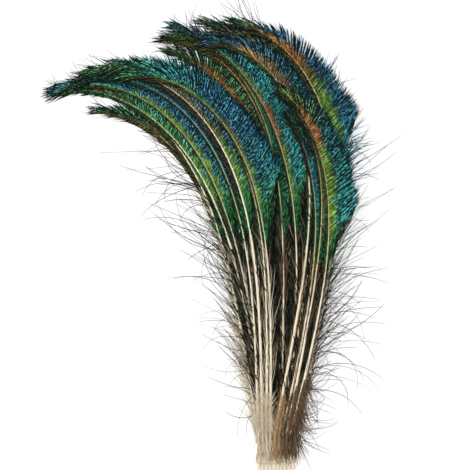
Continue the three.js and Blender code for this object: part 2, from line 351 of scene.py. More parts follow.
# ---- Barbs ----
@dataclass
class Barbs:
    """A set of barbs on one side of a shaft, one entry for each barb.

    root: place along the shaft. length, angle: at the root; sweep is added to the angle by the tip.
    width: at the root. level: height over the sheet. lift: how much higher the middle is. wave: sideways
    swing in degrees. droop: share of its height that the tip loses. map_u: place along the map.
    tip_share: width at the tip, as a share.

    RIDGE: height of the spike, as a share of its width. LOWEST: the least height of its underside. SWINGS:
    the lowest and highest number of swings. The powers say how early the arch, droop and taper come.
    MAP_SPREAD and MAP_REACH: half the width of a barb on the map, and its length.
    """

    side: Side
    root: Array
    length: Array
    angle: Array
    sweep: Array
    width: Array
    level: Array
    lift: Array
    wave: Array
    droop: Array
    map_u: Array
    tip_share: float = 0.42

    RIDGE = 0.34
    LOWEST = 0.25
    SWINGS = (0.5, 1.3)
    ARCH_POWER = 0.7
    DROOP_POWER = 0.8
    TAPER_POWER = 1.3
    MAP_SPREAD = 0.0006
    MAP_REACH = 0.49

    def mesh(self, line: ShaftLine, segments: int, rng: np.random.Generator) -> MeshArrays:
        """Makes every barb a closed three-sided spike.

        Args:
            line: the shaft that they grow on.
            segments: pieces along each barb.
            rng: source of their small differences.

        Returns:
            One joined mesh.
        """
        count = len(self.root)
        x, y = line.place(self.root)
        t = np.linspace(0.0, 1.0, segments + 1)[:, None]
        phase = rng.uniform(0.0, 2.0 * np.pi, count)
        swings = between(self.SWINGS, count, rng)
        swing = np.radians(self.wave) * np.sin(phase + 2.0 * np.pi * swings * t)
        angle = np.radians(self.angle + self.sweep * t) + swing
        heading = line.heading(self.root) - self.side.value * angle
        step = self.length / segments
        middle = (heading[1:] + heading[:-1]) / 2
        zero = np.zeros((1, count))
        px = x - np.concatenate([zero, np.cumsum(step * np.sin(middle), axis=0)])
        py = y + np.concatenate([zero, np.cumsum(step * np.cos(middle), axis=0)])
        sheet = line.height(px, py) + self.level
        arch = self.lift * np.sin(np.pi * t**self.ARCH_POWER)
        pz = np.maximum(sheet * (1.0 - self.droop * t**self.DROOP_POWER) + arch, self.LOWEST)
        half = self.width / 2 * mix(1.0, self.tip_share, t**self.TAPER_POWER)
        nx, ny = np.cos(heading) * half, np.sin(heading) * half
        rise = self.RIDGE * 2.0 * half
        rings = np.stack(
            [
                np.stack([px + nx, py + ny, pz], axis=-1),
                np.stack([px, py, pz + rise], axis=-1),
                np.stack([px - nx, py - ny, pz], axis=-1),
            ],
            axis=2,
        )[:-1]
        tips = np.stack([px[-1], py[-1], pz[-1]], axis=-1)
        return self._join(rings, tips, segments)

    def _join(self, rings: Array, tips: Array, segments: int) -> MeshArrays:
        """Numbers the vertices barb by barb and adds the faces and the map.

        Args:
            rings: points as (ring, barb, corner, xyz).
            tips: the barbs' end points.
            segments: pieces along each barb.

        Returns:
            One joined mesh.
        """
        count = len(self.root)
        per_barb = 3 * segments + 1
        body = rings.transpose(1, 0, 2, 3).reshape(count, 3 * segments, 3)
        points = np.concatenate([body, tips[:, None, :]], axis=1).reshape(-1, 3)
        faces = [(0, 2, 1)]
        for r in range(segments - 1):
            for i in range(3):
                j = (i + 1) % 3
                a, b, c, d = 3 * r + i, 3 * r + j, 3 * r + 3 + i, 3 * r + 3 + j
                faces += [(a, b, d), (a, d, c)]
        last = 3 * (segments - 1)
        faces += [(last + i, last + (i + 1) % 3, 3 * segments) for i in range(3)]
        one = np.array(faces)
        every = (one[None] + per_barb * np.arange(count)[:, None, None]).reshape(-1, 3)
        spread = self.MAP_SPREAD * np.array([1.0, 0.0, -1.0])
        u = np.concatenate([np.tile(spread, segments), [0.0]])[None] + self.map_u[:, None]
        t = np.concatenate([np.repeat(np.arange(segments) / segments, 3), [1.0]])
        v = np.broadcast_to(0.5 + self.side.value * self.MAP_REACH * t, u.shape)
        return MeshArrays(points, every, np.stack([u, v], axis=-1).reshape(-1, 2))


class FeatherMap:
    """How a feather's map is laid out: the barbs' roots along U, and the undercoat past them, where it is
    painted black as shade.
    """

    SPAN = 0.9
    ENDS = (0.002, 0.998)
    UNDER_FROM = 0.93
    UNDER_SPAN = 0.06

    @classmethod
    def along(cls, share: Array) -> Array:
        """U of a barb that roots at a share of the shaft's length."""
        return np.clip(share, *cls.ENDS) * cls.SPAN

    @classmethod
    def under(cls, count: int, rng: np.random.Generator) -> Array:
        """U of barbs that lie under the others, on the end of the map that is painted black as shade."""
        return cls.UNDER_FROM + cls.UNDER_SPAN * rng.uniform(0.0, 1.0, count)


@dataclass(frozen=True)
class Coat:
    """One of the two coats of a vane's barbs.

    pitch: spacing of the roots. width: at the root. tip_share: width at the tip, as a share. share: their
    length, as a share of the vane's. level, lift: the lowest and the highest, as in Barbs. segments: pieces
    along a barb of the outer vane. hidden: whether it has the end of the map that is painted black as shade.
    """

    pitch: float
    width: float
    tip_share: float
    share: float
    level: Span
    lift: Span
    segments: int
    painted_shade: bool


# The undercoat's barbs are painted black as shade, so that the floor does not show between the top coat's
# barbs.
UNDERCOAT = Coat(0.62, 1.3, 0.85, 0.97, (-0.45, -0.25), (-0.1, 0.1), 4, True)
TOP_COAT = Coat(0.82, 0.64, 0.5, 1.0, (0.05, 0.25), (-0.05, 0.3), 5, False)


@dataclass(frozen=True)
class Fringe:
    """How the loose barbs below a vane lie.

    spacing: of the roots, as a share of the vane's fringe_pitch. rarity: the higher it is, the fewer barbs
    are loose. length, angle: at the foot and higher up. vary: lowest and highest share of the length.
    stray, splay: what looseness adds to the length and to the angle. scatter: of the angles. turn: middle
    and scatter of the sweep. level, lift, wave, droop: lowest and highest, as in Barbs. sag: what looseness
    adds to the droop.
    """

    spacing: float
    rarity: float
    length: Span
    vary: Span
    angle: Span
    scatter: float
    turn: Span
    level: Span
    wave: Span
    stray: float = 0.0
    splay: float = 0.0
    lift: Span | None = None
    droop: Span | None = None
    sag: float = 0.0


FREE_FRINGE = Fringe(
    spacing=2.6, rarity=2.5, length=(6.0, 10.0), vary=(0.7, 1.3), angle=(10.0, 14.0), scatter=4.0,
    turn=(4.0, 10.0), level=(-0.5, 0.4), wave=(1.0, 6.0), stray=40.0, splay=24.0, lift=(-0.3, 0.4), sag=0.6,
)
COVERED_FRINGE = Fringe(
    spacing=0.8, rarity=4.0, length=(9.0, 24.0), vary=(0.6, 1.25), angle=(12.0, 7.0), scatter=2.0,
    turn=(-2.0, 4.0), level=(-0.5, 0.0), wave=(1.0, 2.5), splay=12.0, droop=(0.4, 1.0),
)


@dataclass(frozen=True)
class Vane:
    """Sizes of a feather's vane and of the fringe below it.

    fringe_start, foot_length: where the fringe starts, and the stretch over which it reaches its full length.
    *_barb: lengths of barbs. The angles are in degrees from the shaft. The *_high ones hold near the tip.
    first_share: how long the first barbs are, as a share. loose_*: how many times more the barbs differ
    where the vane starts and where it ends.

    FIRST_BARB, WIDENING, SPREADING, SETTLING and OVERLAP are measured from the vane's start, as shares of
    the shaft. SHIFTS is the lowest and highest share of the pitch that a root is moved by. LENGTHS, WIDTHS
    and the like are the lowest and highest share of a size. WAVES and the scatters are in degrees.
    """

    fringe_start: float = 40.0
    foot_length: float = 30.0
    fringe_pitch: float = 0.6
    hair_width: float = 0.38
    outer_barb: float = 35.0
    outer_barb_high: float = 25.0
    opening_angle: float = 14.0
    outer_angle: float = 46.0
    outer_angle_high: float = 70.0
    outer_turn: float = -7.0
    inner_barb: float = 16.0
    inner_angle: float = 26.0
    tip_barb: float = 18.0
    tip_angle: float = 9.0
    first_share: float = 0.72
    loose_scatter: float = 7.0
    loose_turn: float = 4.5
    loose_wave: float = 5.0
    inner_segments: int = 3
    fringe_segments: int = 4

    FIRST_BARB = -0.03
    WIDENING = (-0.05, 0.08)
    SPREADING = (-0.06, 0.1)
    SETTLING = (-0.03, 0.09)
    SHIFTS = (-0.3, 0.3)
    LENGTHS = (0.93, 1.03)
    LOOSE_LENGTHS = (0.75, 1.3)
    WIDTHS = (0.8, 1.15)
    HAIR_WIDTHS = (0.6, 1.4)
    WAVES = (0.3, 1.8)
    SCATTER = 1.0
    TURN_SCATTER = 1.4
    TIP_WIDTH = 0.7
    OVERLAP = 0.02

    @staticmethod
    def _opened(shape: Shape, stretch: Span, u: Array) -> Array:
        """Eases from 0 to 1 over a stretch that is measured from where the vane starts."""
        return smooth(ramp(shape.vane + stretch[0], shape.vane + stretch[1], u))

    def outline(self, line: ShaftLine, side: Side, u: Array) -> tuple[Array, Array]:
        """Length and angle of the vane's barbs.

        Args:
            line: the shaft.
            side: the side that they grow on.
            u: their roots, as shares of the shaft's length.

        Returns:
            Lengths, and angles in degrees.
        """
        shape = line.shape
        opening = self._opened(shape, self.WIDENING, u)
        closing = smooth(ramp(shape.taper, 1.0, u))
        if side is Side.OUTER:
            angle = mix(self.outer_angle, self.outer_angle_high, smooth(ramp(shape.vane, shape.taper, u)))
            upward = ramp(shape.vane + self.WIDENING[1], shape.taper, u)
            wide = mix(self.outer_barb, self.outer_barb_high, upward)
            across = shape.reach * wide * math.sin(math.radians(self.outer_angle))
            full = across / np.sin(np.radians(angle))
            angle = mix(self.opening_angle, angle, self._opened(shape, self.SPREADING, u))
        else:
            angle = np.full(len(u), self.inner_angle)
            full = np.full(len(u), shape.inner * self.inner_barb)
        length = mix(full * mix(self.first_share, 1.0, opening), self.tip_barb, closing)
        return length, mix(angle, self.tip_angle, closing)

    def barbs(self, line: ShaftLine, side: Side, coat: Coat, rng: np.random.Generator) -> MeshArrays:
        """The dense barbs of the vane on one side, in one of its two coats.

        Args:
            line: the shaft.
            side: the side that they grow on.
            coat: the undercoat or the top coat.
            rng: source of their small differences.

        Returns:
            One joined mesh.
        """
        shape = line.shape
        root = np.arange((shape.vane + self.FIRST_BARB) * shape.length, shape.length - 0.5, coat.pitch)
        count = len(root)
        root = np.clip(root + between(self.SHIFTS, count, rng) * coat.pitch, 0.0, shape.length - 0.3)
        u = root / shape.length
        length, angle = self.outline(line, side, u)
        closing = smooth(ramp(shape.taper, 1.0, u))
        loose = np.maximum(closing, 1.0 - self._opened(shape, self.SETTLING, u))
        length = length * between(self.LENGTHS, count, rng)
        length = length * mix(1.0, between(self.LOOSE_LENGTHS, count, rng), loose)
        turn = self.outer_turn if side is Side.OUTER else 0.0
        return Barbs(
            side=side,
            root=root,
            length=length * coat.share,
            angle=angle + rng.normal(0.0, self.SCATTER, count) * mix(1.0, self.loose_scatter, loose),
            sweep=rng.normal(turn, self.TURN_SCATTER, count) * mix(1.0, self.loose_turn, loose),
            width=coat.width * between(self.WIDTHS, count, rng) * mix(1.0, self.TIP_WIDTH, closing),
            level=between(coat.level, count, rng),
            lift=between(coat.lift, count, rng),
            wave=between(self.WAVES, count, rng) * mix(1.0, self.loose_wave, loose),
            droop=np.zeros(count),
            map_u=FeatherMap.under(count, rng) if coat.painted_shade else FeatherMap.along(u),
            tip_share=coat.tip_share,
        ).mesh(line, coat.segments if side is Side.OUTER else self.inner_segments, rng)

    def fringe(self, line: ShaftLine, side: Side, kind: Fringe, rng: np.random.Generator) -> MeshArrays:
        """The loose barbs that line the shaft below the vane.

        Args:
            line: the shaft.
            side: the side that they grow on.
            kind: how they lie.
            rng: source of their small differences.

        Returns:
            One joined mesh.
        """
        shape = line.shape
        pitch = self.fringe_pitch * kind.spacing
        root = np.arange(self.fringe_start, (shape.vane + self.OVERLAP) * shape.length, pitch)
        count = len(root)
        root = root + rng.uniform(-0.5, 0.5, count) * pitch
        near = ramp(self.fringe_start, self.fringe_start + self.foot_length, root)
        loose = rng.uniform(0.0, 1.0, count) ** kind.rarity
        length = mix(*kind.length, near) * between(kind.vary, count, rng) + kind.stray * loose
        angle = mix(*kind.angle, near) + kind.splay * loose + rng.normal(0.0, kind.scatter, count)
        return Barbs(
            side=side,
            root=root,
            length=length,
            angle=angle,
            sweep=rng.normal(*kind.turn, count),
            width=self.hair_width * between(self.HAIR_WIDTHS, count, rng),
            level=between(kind.level, count, rng),
            lift=between(kind.lift, count, rng),
            wave=between(kind.wave, count, rng),
            droop=kind.sag * loose + between(kind.droop, count, rng),
            map_u=FeatherMap.along(root / shape.length),
        ).mesh(line, self.fringe_segments, rng)


@dataclass(frozen=True)
class Tuft:
    """Loose barbs that leave a feather on one side, such as down, strays and the hairs at the tip.

    roots: where the first and the last root. lengths: the shortest and the longest. angle, scatter: their
    direction, in degrees from the shaft's. curl, turn: how far they turn on their way. lie: level over the
    sheet. tones: the shares of the shaft's length whose colour they have.
    """

    side: Side
    count: int
    roots: Span
    lengths: Span
    angle: float
    scatter: float
    curl: float = 52.0
    turn: float = 0.0
    width: float = 0.42
    lie: Span = (0.0, 1.2)
    droop: Span = (0.2, 0.8)
    tones: Span = (0.26, 0.44)
    segments: int = 9

    SHORTNESS = 1.5
    WIDTHS = (0.7, 1.25)
    LIFTS = (0.0, 1.0)
    WAVES = (1.0, 9.0)

    def mesh(self, line: ShaftLine, rng: np.random.Generator) -> MeshArrays:
        """Makes the loose barbs as fine curling spikes.

        Args:
            line: the shaft that they grow on.
            rng: source of their small differences.

        Returns:
            One joined mesh.
        """
        count = self.count
        return Barbs(
            side=self.side,
            root=between(self.roots, count, rng),
            length=mix(*self.lengths, rng.uniform(0.0, 1.0, count) ** self.SHORTNESS),
            angle=self.angle + rng.normal(0.0, self.scatter, count),
            sweep=rng.normal(self.turn, self.curl, count),
            width=self.width * between(self.WIDTHS, count, rng),
            level=between(self.lie, count, rng),
            lift=between(self.LIFTS, count, rng),
            wave=between(self.WAVES, count, rng),
            droop=between(self.droop, count, rng),
            map_u=FeatherMap.along(between(self.tones, count, rng)),
        ).mesh(line, self.segments, rng)


# ---- Finishes ----
class NodeTree:
    """A short way to place and link the nodes of a material or a group.

    Most methods take values or linked sockets alike.
    """

    def __init__(self, tree: bpy.types.NodeTree) -> None:
        """Wraps a node tree."""
        self.tree = tree

    def add(self, kind: str, inputs: dict | None = None, **settings: object) -> bpy.types.Node:
        """Adds a node.

        Args:
            kind: the node's type name without its ShaderNode prefix.
            inputs: a value or a linked socket for each input, by name or number.
            settings: the node's own properties.

        Returns:
            The node.
        """
        node = self.tree.nodes.new("ShaderNode" + kind)
        for name, value in settings.items():
            setattr(node, name, value)
        for key, value in (inputs or {}).items():
            self.feed(node.inputs[key], value)
        return node

    def feed(self, socket: Socket, value: object) -> None:
        """Links a socket, or sets it.

        Args:
            socket: an input.
            value: the socket that it gets linked to, or else its value or hue.
        """
        if isinstance(value, Socket):
            self.tree.links.new(value, socket)
        elif isinstance(value, Hue):
            socket.default_value = value.value if socket.type == "VECTOR" else (*value.value, 1.0)
        else:
            socket.default_value = value

    def math(self, operation: str, a: object, b: object = 0.0, clamp: bool = False) -> Socket:
        """A sum on two values or sockets.

        Args:
            operation: its name in Blender.
            a: the first value.
            b: the second value.
            clamp: whether the result is kept between 0 and 1.

        Returns:
            The result.
        """
        return self.add("Math", {0: a, 1: b}, operation=operation, use_clamp=clamp).outputs[0]

    def times(self, a: object, b: object) -> Socket:
        """a times b."""
        return self.math("MULTIPLY", a, b)

    def flipped(self, share: object) -> Socket:
        """1 less a share."""
        return self.math("SUBTRACT", 1.0, share)

    def linear(self, value: object, base: float, slope: float) -> Socket:
        """A base, and a slope times a value."""
        return self.math("ADD", base, self.times(value, slope))

    def nudged(self, value: object, noise: object, amount: float) -> Socket:
        """A value that noise moves up and down by half an amount."""
        return self.math("ADD", value, self.times(self.math("SUBTRACT", noise, 0.5), amount))

    def blend(self, factor: object, a: object, b: object) -> Socket:
        """A mix of two colours: a where the factor is 0, and b where it is 1."""
        return self.add("Mix", {0: factor, 6: a, 7: b}, data_type="RGBA").outputs[2]

    def scaled(self, colour: object, factor: object) -> Socket:
        """A colour made brighter or darker.

        Args:
            colour: the colour.
            factor: what it is multiplied by.

        Returns:
            The new colour.
        """
        node = self.add("VectorMath", {0: colour}, operation="SCALE")
        self.feed(node.inputs["Scale"], factor)
        return node.outputs[0]

    def stops(self, factor: Socket, stops: Stops) -> Socket:
        """A colour that changes along a row of stops.

        Args:
            factor: the place that it is read at.
            stops: the places, from 0 to 1, and the hue at each.

        Returns:
            The colour.
        """
        node = self.add("ValToRGB", {0: factor})
        elements = node.color_ramp.elements
        while len(elements) < len(stops):
            elements.new(1.0)
        for element, (place, hue) in zip(elements, stops):
            element.position = place
            element.color = (*hue.value, 1.0)
        return node.outputs[0]

    def rise(self, value: object, low: object, high: object) -> Socket:
        """0 below low, 1 above high, with eased ends."""
        return self.add("MapRange", {0: value, 1: low, 2: high}, interpolation_type="SMOOTHSTEP").outputs[0]

    def noise(self, point: tuple[object, object, object], detail: float) -> Socket:
        """Noise at a point, about 0.2 to 0.8."""
        vector = self.add("CombineXYZ", dict(enumerate(point))).outputs[0]
        return self.add("TexNoise", {"Vector": vector, "Scale": 1.0, "Detail": detail}).outputs[0]

    def bump(self, height: Socket, strength: float) -> Socket:
        """A normal that follows a height of up to 0.2 mm."""
        node = self.add("Bump", {"Height": height, "Strength": strength, "Distance": 0.2 * MM})
        return node.outputs[0]


def new_group(name: str, inputs: dict[str, str], outputs: dict[str, str]) -> tuple[NodeTree, object, object]:
    """A shader node group with named sockets.

    Args:
        name: the group's name.
        inputs: names and kinds of its inputs.
        outputs: names and kinds of its outputs.

    Returns:
        Its tree, its input node and its output node.
    """
    group = bpy.data.node_groups.new(name, "ShaderNodeTree")
    for direction, sockets in (("INPUT", inputs), ("OUTPUT", outputs)):
        for socket, kind in sockets.items():
            group.interface.new_socket(socket, in_out=direction, socket_type="NodeSocket" + kind)
    return NodeTree(group), group.nodes.new("NodeGroupInput"), group.nodes.new("NodeGroupOutput")


def new_material(name: str) -> tuple[bpy.types.Material, NodeTree, bpy.types.Node]:
    """Makes a material.

    Args:
        name: its name.

    Returns:
        The material, its tree and its Principled shader.
    """
    material = bpy.data.materials.new(name)
    material.use_nodes = True
    return material, NodeTree(material.node_tree), material.node_tree.nodes["Principled BSDF"]


@dataclass(frozen=True)
class Speckle:
    """A noise over the barbs: cells for each strand, cells along a barb's length, and how fine it is."""

    across: float
    along: float
    detail: float


class BarbShimmer:
    """The colour of a feather's barbs: smooth by the shaft, painted highlights on painted shade further out.

    It is a node group that reads the feather's map. U goes along the feather and past its tip for the
    undercoat, which is painted black as shade. V goes from the middle, at the shaft, to an end, at the
    barbs' tips. The *_RANGE pairs say where an effect starts and where it is full. The *_LIGHT pairs are a
    base, and what an effect adds to it.
    """

    HUES = ("Near", "Far", "Edge", "Inner", "Down")
    VALUES = ("U", "V", "Start", "Near Width", "Gain", "Strands", "Seed")
    RESULTS = {"Color": "Color", "Metallic": "Float", "Roughness": "Float"}
    SPREAD = 2.04

    PATCHES = Speckle(0.12, 3.0, 2.0)
    # The next speckle places the painted highlights and glints along the barbs.
    HIGHLIGHT_NOISE = Speckle(2.2, 10.0, 1.0)
    STRANDS = Speckle(3.7, 0.0, 0.0)
    MOTTLE = Speckle(0.7, 5.0, 1.0)
    PALE_BARBS = Speckle(3.1, 1.5, 0.0)
    TANNED_BARBS = Speckle(5.3, 0.0, 0.0)

    PAINTED_HIGHLIGHT_RANGE = (0.49, 0.63)
    PAINTED_GLINT_RANGE = (0.57, 0.68)
    STRAND_RANGE = (0.33, 0.67)
    MOTTLE_RANGE = (0.45, 0.65)
    PATCH_RANGE = (0.42, 0.58)
    PALE_RANGE = (0.56, 0.66)
    TANNED_RANGE = (0.5, 0.6)
    EDGE_RANGE = (0.66, 0.95)
    PALE_END_RANGE = (0.32, 0.42)
    DOWN_END_RANGE = (0.13, 0.17)
    CLEAR_FROM = 0.6
    VANE_OPENING = 0.08
    UNDERCOAT_FROM = 1.01

    STRAND_LIGHT = (0.3, 0.95)
    # The next pair is the painted shade, and what the painted highlights add to it; NEAR_LIGHT, FRINGE_LIGHT
    # and INNER_LIGHT scale the same painted highlights.
    HIGHLIGHT_AND_SHADE_LIGHT = (0.22, 4.4)
    NEAR_LIGHT = (0.85, 2.4)
    CLEAR_LIGHT = (0.5, 0.5)
    FRINGE_LIGHT = (0.15, 1.6)
    DOWN_LIGHT = (0.7, 0.4)
    INNER_LIGHT = 0.45

    PATCH_SHIFT = 0.3
    STRAND_SHIFT = 0.2
    NEAR_SOFTNESS = 0.1
    GREENED = 0.5
    PAINTED_GLINT_SHARE = 0.55
    DARKENED = 0.75
    TANNED = 0.5
    METALLIC = 0.45
    ROUGHNESS = (0.6, -0.2)
    FRINGE: Stops = (
        (0.0, Hue.TAN), (0.14, Hue.TAN), (0.2, Hue.UMBER), (0.34, Hue.BLACK), (0.42, Hue.BOTTLE),
        (0.5, Hue.GREEN),
    )

    def __init__(self) -> None:
        """Makes the group's sockets and the noises that its parts share."""
        sockets = {**dict.fromkeys(self.HUES, "Color"), **dict.fromkeys(self.VALUES, "Float")}
        self.tree, source, self.result = new_group("barb_shimmer", sockets, self.RESULTS)
        self.given = source.outputs
        tree = self.tree
        from_shaft = tree.math("ABSOLUTE", tree.math("SUBTRACT", self.given["V"], 0.5))
        self.out = tree.times(from_shaft, self.SPREAD)
        self.strand = tree.times(self.given["U"], self.given["Strands"])
        self.patch = self._speckle(self.PATCHES)
        # Painted highlights: short bright streaks along the barbs, where this noise is high.
        self.highlight_noise = self._speckle(self.HIGHLIGHT_NOISE)
        self.painted_highlight = tree.rise(self.highlight_noise, *self.PAINTED_HIGHLIGHT_RANGE)
        self.own = tree.rise(self._speckle(self.STRANDS), *self.STRAND_RANGE)
        self.tone = tree.linear(self.own, *self.STRAND_LIGHT)
        # Brightness of the painted highlights, and of the nearly black painted shade between them.
        self.highlight_and_shade = tree.times(tree.linear(self.painted_highlight, *self.HIGHLIGHT_AND_SHADE_LIGHT), self.tone)

    def build(self) -> bpy.types.NodeTree:
        """Joins the vanes, the fringe and the undercoat, which is painted black as shade.

        Returns:
            The group.
        """
        tree, u, start = self.tree, self.given["U"], self.given["Start"]
        outer = tree.math("GREATER_THAN", self.given["V"], 0.5)
        vane = tree.scaled(tree.blend(outer, self._inner_vane(), self._outer_vane()), self.given["Gain"])
        above = tree.rise(u, start, tree.math("ADD", start, self.VANE_OPENING))
        # The undercoat is painted black as shade.
        painted_shade = tree.math("GREATER_THAN", u, self.UNDERCOAT_FROM)
        colour = tree.blend(painted_shade, tree.blend(above, self._fringe(), vane), Hue.BLACK)
        colour = tree.add("VectorMath", {0: colour, 1: Hue.GLARE}, operation="MINIMUM").outputs[0]
        live = tree.times(tree.times(above, self.painted_highlight), tree.flipped(painted_shade))
        tree.feed(self.result.inputs["Color"], colour)
        tree.feed(self.result.inputs["Metallic"], tree.times(live, self.METALLIC))
        tree.feed(self.result.inputs["Roughness"], tree.linear(live, *self.ROUGHNESS))
        return tree.tree

    def _speckle(self, speckle: Speckle) -> Socket:
        """A noise that changes from barb to barb and along each of them.

        Args:
            speckle: its scale.

        Returns:
            Its value, about 0.2 to 0.8.
        """
        tree = self.tree
        across = tree.times(self.strand, speckle.across)
        along = tree.times(self.out, speckle.along)
        return tree.noise((across, along, self.given["Seed"]), speckle.detail)

    def _outer_vane(self) -> Socket:
        """Colour of the wide vane by the shaft, further out and at the edge, with painted highlights, shade
        and glints.
        """
        tree, near_width = self.tree, self.given["Near Width"]
        place = tree.nudged(tree.nudged(self.out, self.patch, self.PATCH_SHIFT), self.own, self.STRAND_SHIFT)
        near_end = tree.math("ADD", near_width, self.NEAR_SOFTNESS)
        beside = tree.flipped(tree.rise(place, near_width, near_end))
        mottle = tree.rise(self._speckle(self.MOTTLE), *self.MOTTLE_RANGE)
        far = tree.blend(tree.times(mottle, self.GREENED), self.given["Far"], Hue.GREEN)
        far = tree.blend(tree.rise(place, *self.EDGE_RANGE), far, self.given["Edge"])
        clear = tree.linear(tree.rise(place, near_end, self.CLEAR_FROM), *self.CLEAR_LIGHT)
        outside = tree.scaled(far, tree.times(self.highlight_and_shade, clear))
        # The smooth colour beside the shaft carries the painted highlights too.
        soft = tree.times(tree.linear(self.painted_highlight, *self.NEAR_LIGHT), self.tone)
        vane = tree.blend(beside, outside, tree.scaled(self.given["Near"], soft))
        # Painted glints: a few pale spots where the highlight noise is highest, away from the smooth band by
        # the shaft.
        painted_glint = tree.times(tree.rise(self.highlight_noise, *self.PAINTED_GLINT_RANGE), tree.flipped(beside))
        return tree.blend(tree.times(painted_glint, self.PAINTED_GLINT_SHARE), vane, Hue.GLINT)

    def _inner_vane(self) -> Socket:
        """Colour of the narrow vane, with dark patches, and dimmer painted highlights on painted shade."""
        tree = self.tree
        patches = tree.times(tree.rise(self.patch, *self.PATCH_RANGE), self.DARKENED)
        hue = tree.blend(patches, self.given["Inner"], Hue.BOTTLE)
        return tree.scaled(hue, tree.times(self.highlight_and_shade, self.INNER_LIGHT))

    def _fringe(self) -> Socket:
        """Colour below the vane: the down at the foot, and barbs, darker the higher they grow, with painted
        highlights.
        """
        tree, u = self.tree, self.given["U"]
        # Painted highlights on the fringe's barbs.
        lit = tree.times(tree.linear(self.painted_highlight, *self.FRINGE_LIGHT), self.tone)
        fringe = tree.scaled(tree.stops(u, self.FRINGE), lit)
        pale = tree.rise(self._speckle(self.PALE_BARBS), *self.PALE_RANGE)
        pale = tree.math("MULTIPLY", pale, tree.flipped(self.out), clamp=True)
        pale = tree.times(pale, tree.flipped(tree.rise(u, *self.PALE_END_RANGE)))
        fringe = tree.blend(pale, fringe, Hue.TAN)
        down = tree.scaled(self.given["Down"], tree.linear(self.own, *self.DOWN_LIGHT))
        tanned = tree.rise(self._speckle(self.TANNED_BARBS), *self.TANNED_RANGE)
        down = tree.blend(tree.times(tanned, self.TANNED), down, Hue.FAWN)
        return tree.blend(tree.rise(u, *self.DOWN_END_RANGE), down, fringe)


def horn_streaks() -> bpy.types.NodeTree:
    """Fine streaks along horn.

    Returns:
        A node group that gives a mask, and a height for a bump.
    """
    tree, source, result = new_group(
        "horn_streaks", dict.fromkeys(("U", "V", "Length"), "Float"), {"Mask": "Float", "Height": "Float"}
    )
    along = tree.times(source.outputs["U"], source.outputs["Length"])
    across = tree.times(source.outputs["V"], 9.0)
    streak = tree.noise((along, across, 0.0), 3.0)
    tree.feed(result.inputs["Mask"], tree.rise(streak, 0.5, 0.75))
    tree.feed(result.inputs["Height"], streak)
    return tree.tree


class Effects:
    """The shader node groups that the materials share."""

    def __init__(self) -> None:
        """Builds each group once."""
        self.shimmer = BarbShimmer().build()
        self.streaks = horn_streaks()


def mapped(tree: NodeTree) -> tuple[Socket, Socket]:
    """U and V of the piece's own map."""
    place = tree.add("SeparateXYZ", {0: tree.add("UVMap", uv_map=MAP_NAME).outputs[0]})
    return place.outputs[0], place.outputs[1]


@dataclass(frozen=True)
class VaneFinish:
    """The colours of one feather.

    near, far: along the feather, beside the shaft and further out. edge: at the barbs' ends. near_width:
    how far the smooth colour beside the shaft goes, as a share of the barbs. gain: how bright the vane is.
    inner: the narrow vane. down: the down at the quill.
    """

    near: Stops
    far: Stops
    edge: Stops = ((0.5, Hue.TEAL), (0.9, Hue.BOTTLE))
    near_width: float = 0.08
    gain: float = 1.0
    inner: Hue = Hue.OLIVE
    down: Hue = Hue.TAN

    STRAND_PITCH = 0.85
    SHINE = 0.12

    def material(self, name: str, shape: Shape, effects: Effects) -> bpy.types.Material:
        """Builds the material.

        Args:
            name: its name.
            shape: the feather's shape, for the start of its vane.
            effects: the shared node groups.

        Returns:
            The material, which reads the piece's own map: U along the feather, V along the barbs.
        """
        material, tree, shader = new_material(name)
        map_u, v = mapped(tree)
        u = tree.math("DIVIDE", map_u, FeatherMap.SPAN)
        group = tree.add("Group", node_tree=effects.shimmer)
        for socket, value in {
            "Near": tree.stops(u, self.near),
            "Far": tree.stops(u, self.far),
            "Edge": tree.stops(u, self.edge),
            "Inner": self.inner,
            "Down": self.down,
            "U": u,
            "V": v,
            "Start": shape.vane,
            "Near Width": self.near_width,
            "Gain": self.gain,
            "Strands": shape.length / self.STRAND_PITCH,
            "Seed": 5.3 * shape.column + 71.0 * shape.row,
        }.items():
            tree.feed(group.inputs[socket], value)
        tree.feed(shader.inputs["Base Color"], group.outputs["Color"])
        tree.feed(shader.inputs["Metallic"], group.outputs["Metallic"])
        tree.feed(shader.inputs["Roughness"], group.outputs["Roughness"])
        tree.feed(shader.inputs["Specular IOR Level"], self.SHINE)
        return material


@dataclass(frozen=True)
class ShaftFinish:
    """Ivory horn with fine streaks, browner towards the tip. bright: ivory nearly to the tip."""

    bright: bool = False
    ivory: Hue = Hue.CREAM
    golden: Hue = Hue.HONEY
    tan: Hue = Hue.TAN
    streak_length: float = 40.0
    streak_strength: float = 0.7
    relief: float = 0.12
    roughness: float = 0.42

    def material(self, name: str, effects: Effects) -> bpy.types.Material:
        """Builds the material.

        Args:
            name: its name.
            effects: the shared node groups.

        Returns:
            The material, which reads the piece's own map: U along the shaft, V round it.
        """
        material, tree, shader = new_material(name)
        u, v = mapped(tree)
        group = tree.add("Group", node_tree=effects.streaks)
        for socket, value in {"U": u, "V": v, "Length": self.streak_length}.items():
            tree.feed(group.inputs[socket], value)
        browning = ((0.7, self.ivory),) if self.bright else ((0.45, self.ivory), (0.58, self.golden))
        base = tree.stops(u, ((0.0, self.ivory), *browning, (1.0, self.tan)))
        tint = tree.times(group.outputs["Mask"], self.streak_strength)
        tree.feed(shader.inputs["Base Color"], tree.blend(tint, base, self.tan))
        tree.feed(shader.inputs["Normal"], tree.bump(group.outputs["Height"], self.relief))
        tree.feed(shader.inputs["Roughness"], self.roughness)
        return material


